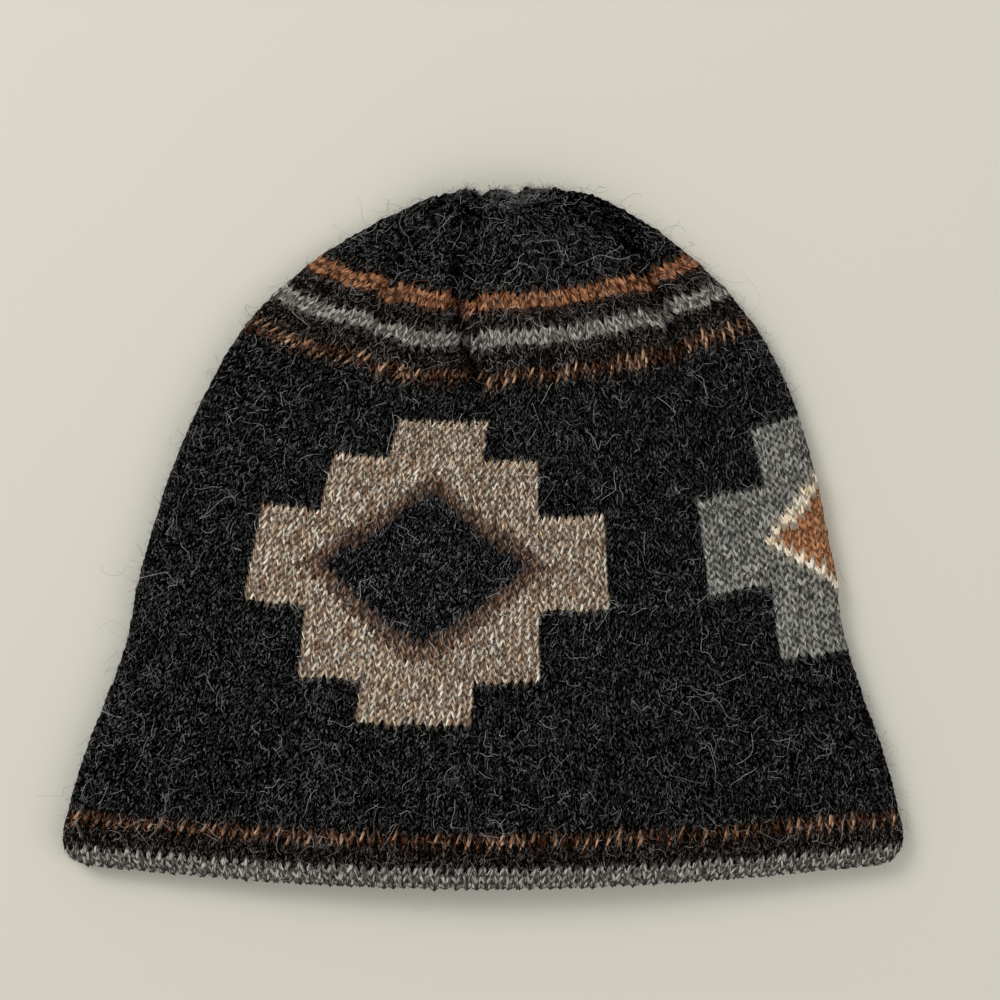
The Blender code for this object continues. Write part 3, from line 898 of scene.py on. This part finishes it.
def fuzzPiece(name, count, shares, courses, lengths, seed, shape, tilts=(-0.05, 0.35), onFolds=False,
              bright=1.0):
    dice = np.random.default_rng(seed)
    share = dice.uniform(*shares, count * 2)
    if onFolds:
        share = np.where(dice.random(count * 2) < 0.5, dice.normal(0, fuzz["foldReach"], count * 2),
                         0.5 + dice.normal(0, fuzz["foldReach"], count * 2))
    course = dice.uniform(*courses, count * 2)
    # fewer where the hat is narrow, and more where the crown is drawn in
    dense = girth(course) / (hat["hemWidth"] * 2.1) * (0.75 + 0.9 * smoothStep((course - 0.72) / 0.12))
    keep = dice.random(count * 2) < (1.0 if onFolds else dense)
    share, course = share[keep][:count], course[keep][:count]
    rows = (course * hat["courses"]).astype(int)
    yarn = np.array([yarnAt(int(u % 1.0 * stitchesIn(row)), row) for u, row in zip(share, rows)])
    dark = np.array([habits[y]["dark"] for y in yarn])
    stay = dark | (dice.random(len(share)) < fuzz["onPale"])
    share, course, yarn, dark = share[stay], course[stay], yarn[stay], dark[stay]
    point, side, up, normal = frames(share, course)
    heading = dice.uniform(0, 2 * math.pi, len(share))
    tilt = dice.uniform(*tilts, len(share))
    flatAim = side * np.cos(heading)[:, None] + up * np.sin(heading)[:, None]
    aim = unit(flatAim * np.cos(tilt)[:, None] + normal * np.sin(tilt)[:, None])
    across = unit(np.cross(aim, normal))
    size = dice.uniform(0, 1, len(share)) ** 1.6 * (lengths[1] - lengths[0]) + lengths[0]
    luck = dice.random((len(share), 3))
    # painted shade: fibres down in the creases are darker
    tint = fuzzTints(yarn, dark, luck, bright) * paintedCreaseShade(share, course)[:, None]
    tint[:, 3] = 1
    turn = eulerOf(across, aim, unit(np.cross(across, aim)))
    seeds = {"point": point - normal * fuzz["sunk"], "turn": turn,
             "size": np.repeat(size[:, None], 3, 1), "luck": luck, "tint": np.clip(tint, 0, 1)}
    ownedBy(scattered(name, hairNodes, seeds, dict(shape, Wool=fuzzWool)), "knit_body")


def hairShape(steps, lift, curl, scale, thickness):
    return {"Steps": steps, "Lift": lift, "Curl": curl, "Curl scale": scale, "Thickness": thickness}


downHair = hairShape(4, 0.14, 2.1, 520.0, 0.040 * mm)
curlHair = hairShape(10, 0.08, 2.0, 360.0, 0.034 * mm)
backHair = hairShape(3, 0.08, 0.8, 420.0, 0.055 * mm)
longHair = hairShape(18, 0.05, 1.6, 170.0, 0.036 * mm)
frontOnly, wholeLength = (-0.01, 0.51), (0.005, 0.997)
fuzzPiece("fuzzDown", 5600, frontOnly, wholeLength, fuzz["down"], 51, downHair)
fuzzPiece("fuzzCurls", 3600, frontOnly, wholeLength, fuzz["curls"], 54, curlHair, bright=1.3)
fuzzPiece("fuzzBack", 400, (0.51, 0.99), wholeLength, fuzz["down"], 52, backHair)
fuzzPiece("fuzzEdge", 1700, (0.0, 1.0), wholeLength, fuzz["down"], 55, downHair, (0.1, 0.9), True, 0.9)
fuzzPiece("fuzzCrown", 1100, (0.02, 0.48), (0.972, 0.999), fuzz["down"], 56, downHair, (0.0, 0.5), bright=0.8)
fuzzPiece("fuzzTop", 1500, (0.0, 1.0), (0.984, 0.9995), fuzz["down"], 57, downHair, (0.1, 0.9))
fuzzPiece("fuzzLong", 300, (-0.02, 0.52), wholeLength, fuzz["long"], 53, longHair, bright=1.5)
print("fibres grown")

# Floor, light and camera. Each lamp: name, place, energy, size
room = {"floor": "#D4D0C2", "span": 1.4, "sky": "#F3F4F6", "skyLevel": 0.60,
        "height": 0.95, "aim": (5.1 * mm, 12.1 * mm), "frame": 0.300, "sensor": 36.0,
        "lamps": (("window", (-0.8, 0.7, 1.1), 11.5, 0.7), ("fill", (1.1, -0.4, 1.1), 5.5, 1.0))}


def makeFloor():
    bpy.ops.mesh.primitive_plane_add(size=room["span"])
    floor = bpy.context.object
    floor.name = "floor"
    material, shader = newMaterial("paleFloor", 0.9, 0.2)  # plain matt paint
    shader.inputs["Base Color"].default_value = linearColour(room["floor"])
    floor.data.materials.append(material)


def makeLights():
    world = bpy.data.worlds.new("softRoom")
    bpy.context.scene.world = world
    world.use_nodes = True
    world.node_tree.nodes["Background"].inputs[0].default_value = linearColour(room["sky"])
    world.node_tree.nodes["Background"].inputs[1].default_value = room["skyLevel"]
    for name, spot, energy, size in room["lamps"]:
        light = bpy.data.lights.new(name, "AREA")
        light.energy = energy
        light.size = size
        lamp = linked(name, light)
        lamp.location = spot
        x, y, z = (-value for value in spot)  # the lamp looks at the middle of the floor
        lamp.rotation_euler = (math.atan2(math.hypot(x, y), -z), 0, math.atan2(y, x) - math.pi / 2)


def makeCamera():
    camera = bpy.data.cameras.new("camera")
    camera.sensor_width = camera.sensor_height = room["sensor"]
    camera.lens = room["sensor"] * room["height"] / room["frame"]
    eye = linked("camera", camera)
    eye.location = (*room["aim"], room["height"])
    bpy.context.scene.camera = eye


makeFloor()
makeLights()
makeCamera()
bpy.context.scene.view_settings.view_transform = "Standard"
